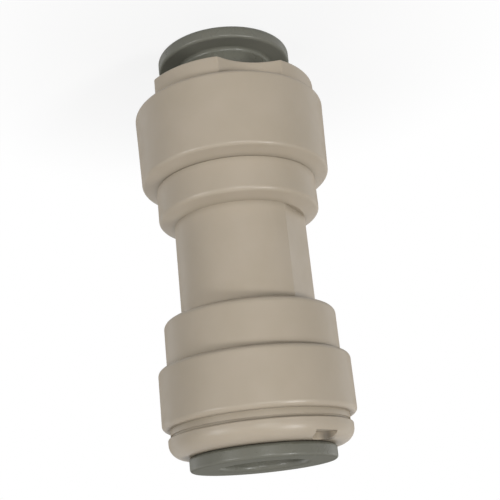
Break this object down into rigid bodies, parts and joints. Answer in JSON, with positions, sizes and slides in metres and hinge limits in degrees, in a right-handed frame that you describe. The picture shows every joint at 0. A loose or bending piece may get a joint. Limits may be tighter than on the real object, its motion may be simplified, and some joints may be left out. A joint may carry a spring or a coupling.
{
  "type": "straight push-fit connector",
  "caption": "Straight push-fit connector for plastic tube: cream moulded body with a waisted neck, pressed-on end caps and a grey release collet in each end.",
  "frame": {"origin": "centre of the lowest face, where the fitting stands on the flange of its drawn-out collet", "axes": "+Z along the tube axis from end A to end B; X through the middle of the neck's two flats"},
  "size_m": [0.0234, 0.0234, 0.0512],
  "materials": {
    "cream_moulding": "satin moulded acetal",
    "grey_moulding": "satin moulded acetal",
    "washer_moulding": "satin moulded acetal",
    "seal_rubber": "moulded nitrile rubber",
    "tooth_steel": "bright stainless spring strip"
  },
  "bodies": {
    "fitting": {"fitting_body": "cream_moulding", "end_cap_a": "cream_moulding", "end_cap_b": "cream_moulding", "o_ring_a": "seal_rubber", "o_ring_b": "seal_rubber", "spacer_washer_a": "washer_moulding", "spacer_washer_b": "washer_moulding"},
    "collet_a": {"collet_a": "grey_moulding", "grip_tooth_a_1": "tooth_steel", "grip_tooth_a_2": "tooth_steel", "grip_tooth_a_3": "tooth_steel", "grip_tooth_a_4": "tooth_steel", "grip_tooth_a_5": "tooth_steel", "grip_tooth_a_6": "tooth_steel"},
    "collet_b": {"collet_b": "grey_moulding", "grip_tooth_b_1": "tooth_steel", "grip_tooth_b_2": "tooth_steel", "grip_tooth_b_3": "tooth_steel", "grip_tooth_b_4": "tooth_steel", "grip_tooth_b_5": "tooth_steel", "grip_tooth_b_6": "tooth_steel"}
  },
  "joints": [
    {"name": "collet_a_slide", "type": "slide", "parent": "fitting", "child": "collet_a", "axis": [0, 0, 1], "range_m": [0, 0.00375]},
    {"name": "collet_b_slide", "type": "slide", "parent": "fitting", "child": "collet_b", "axis": [0, 0, 1], "range_m": [0, 0.00375]}
  ]
}
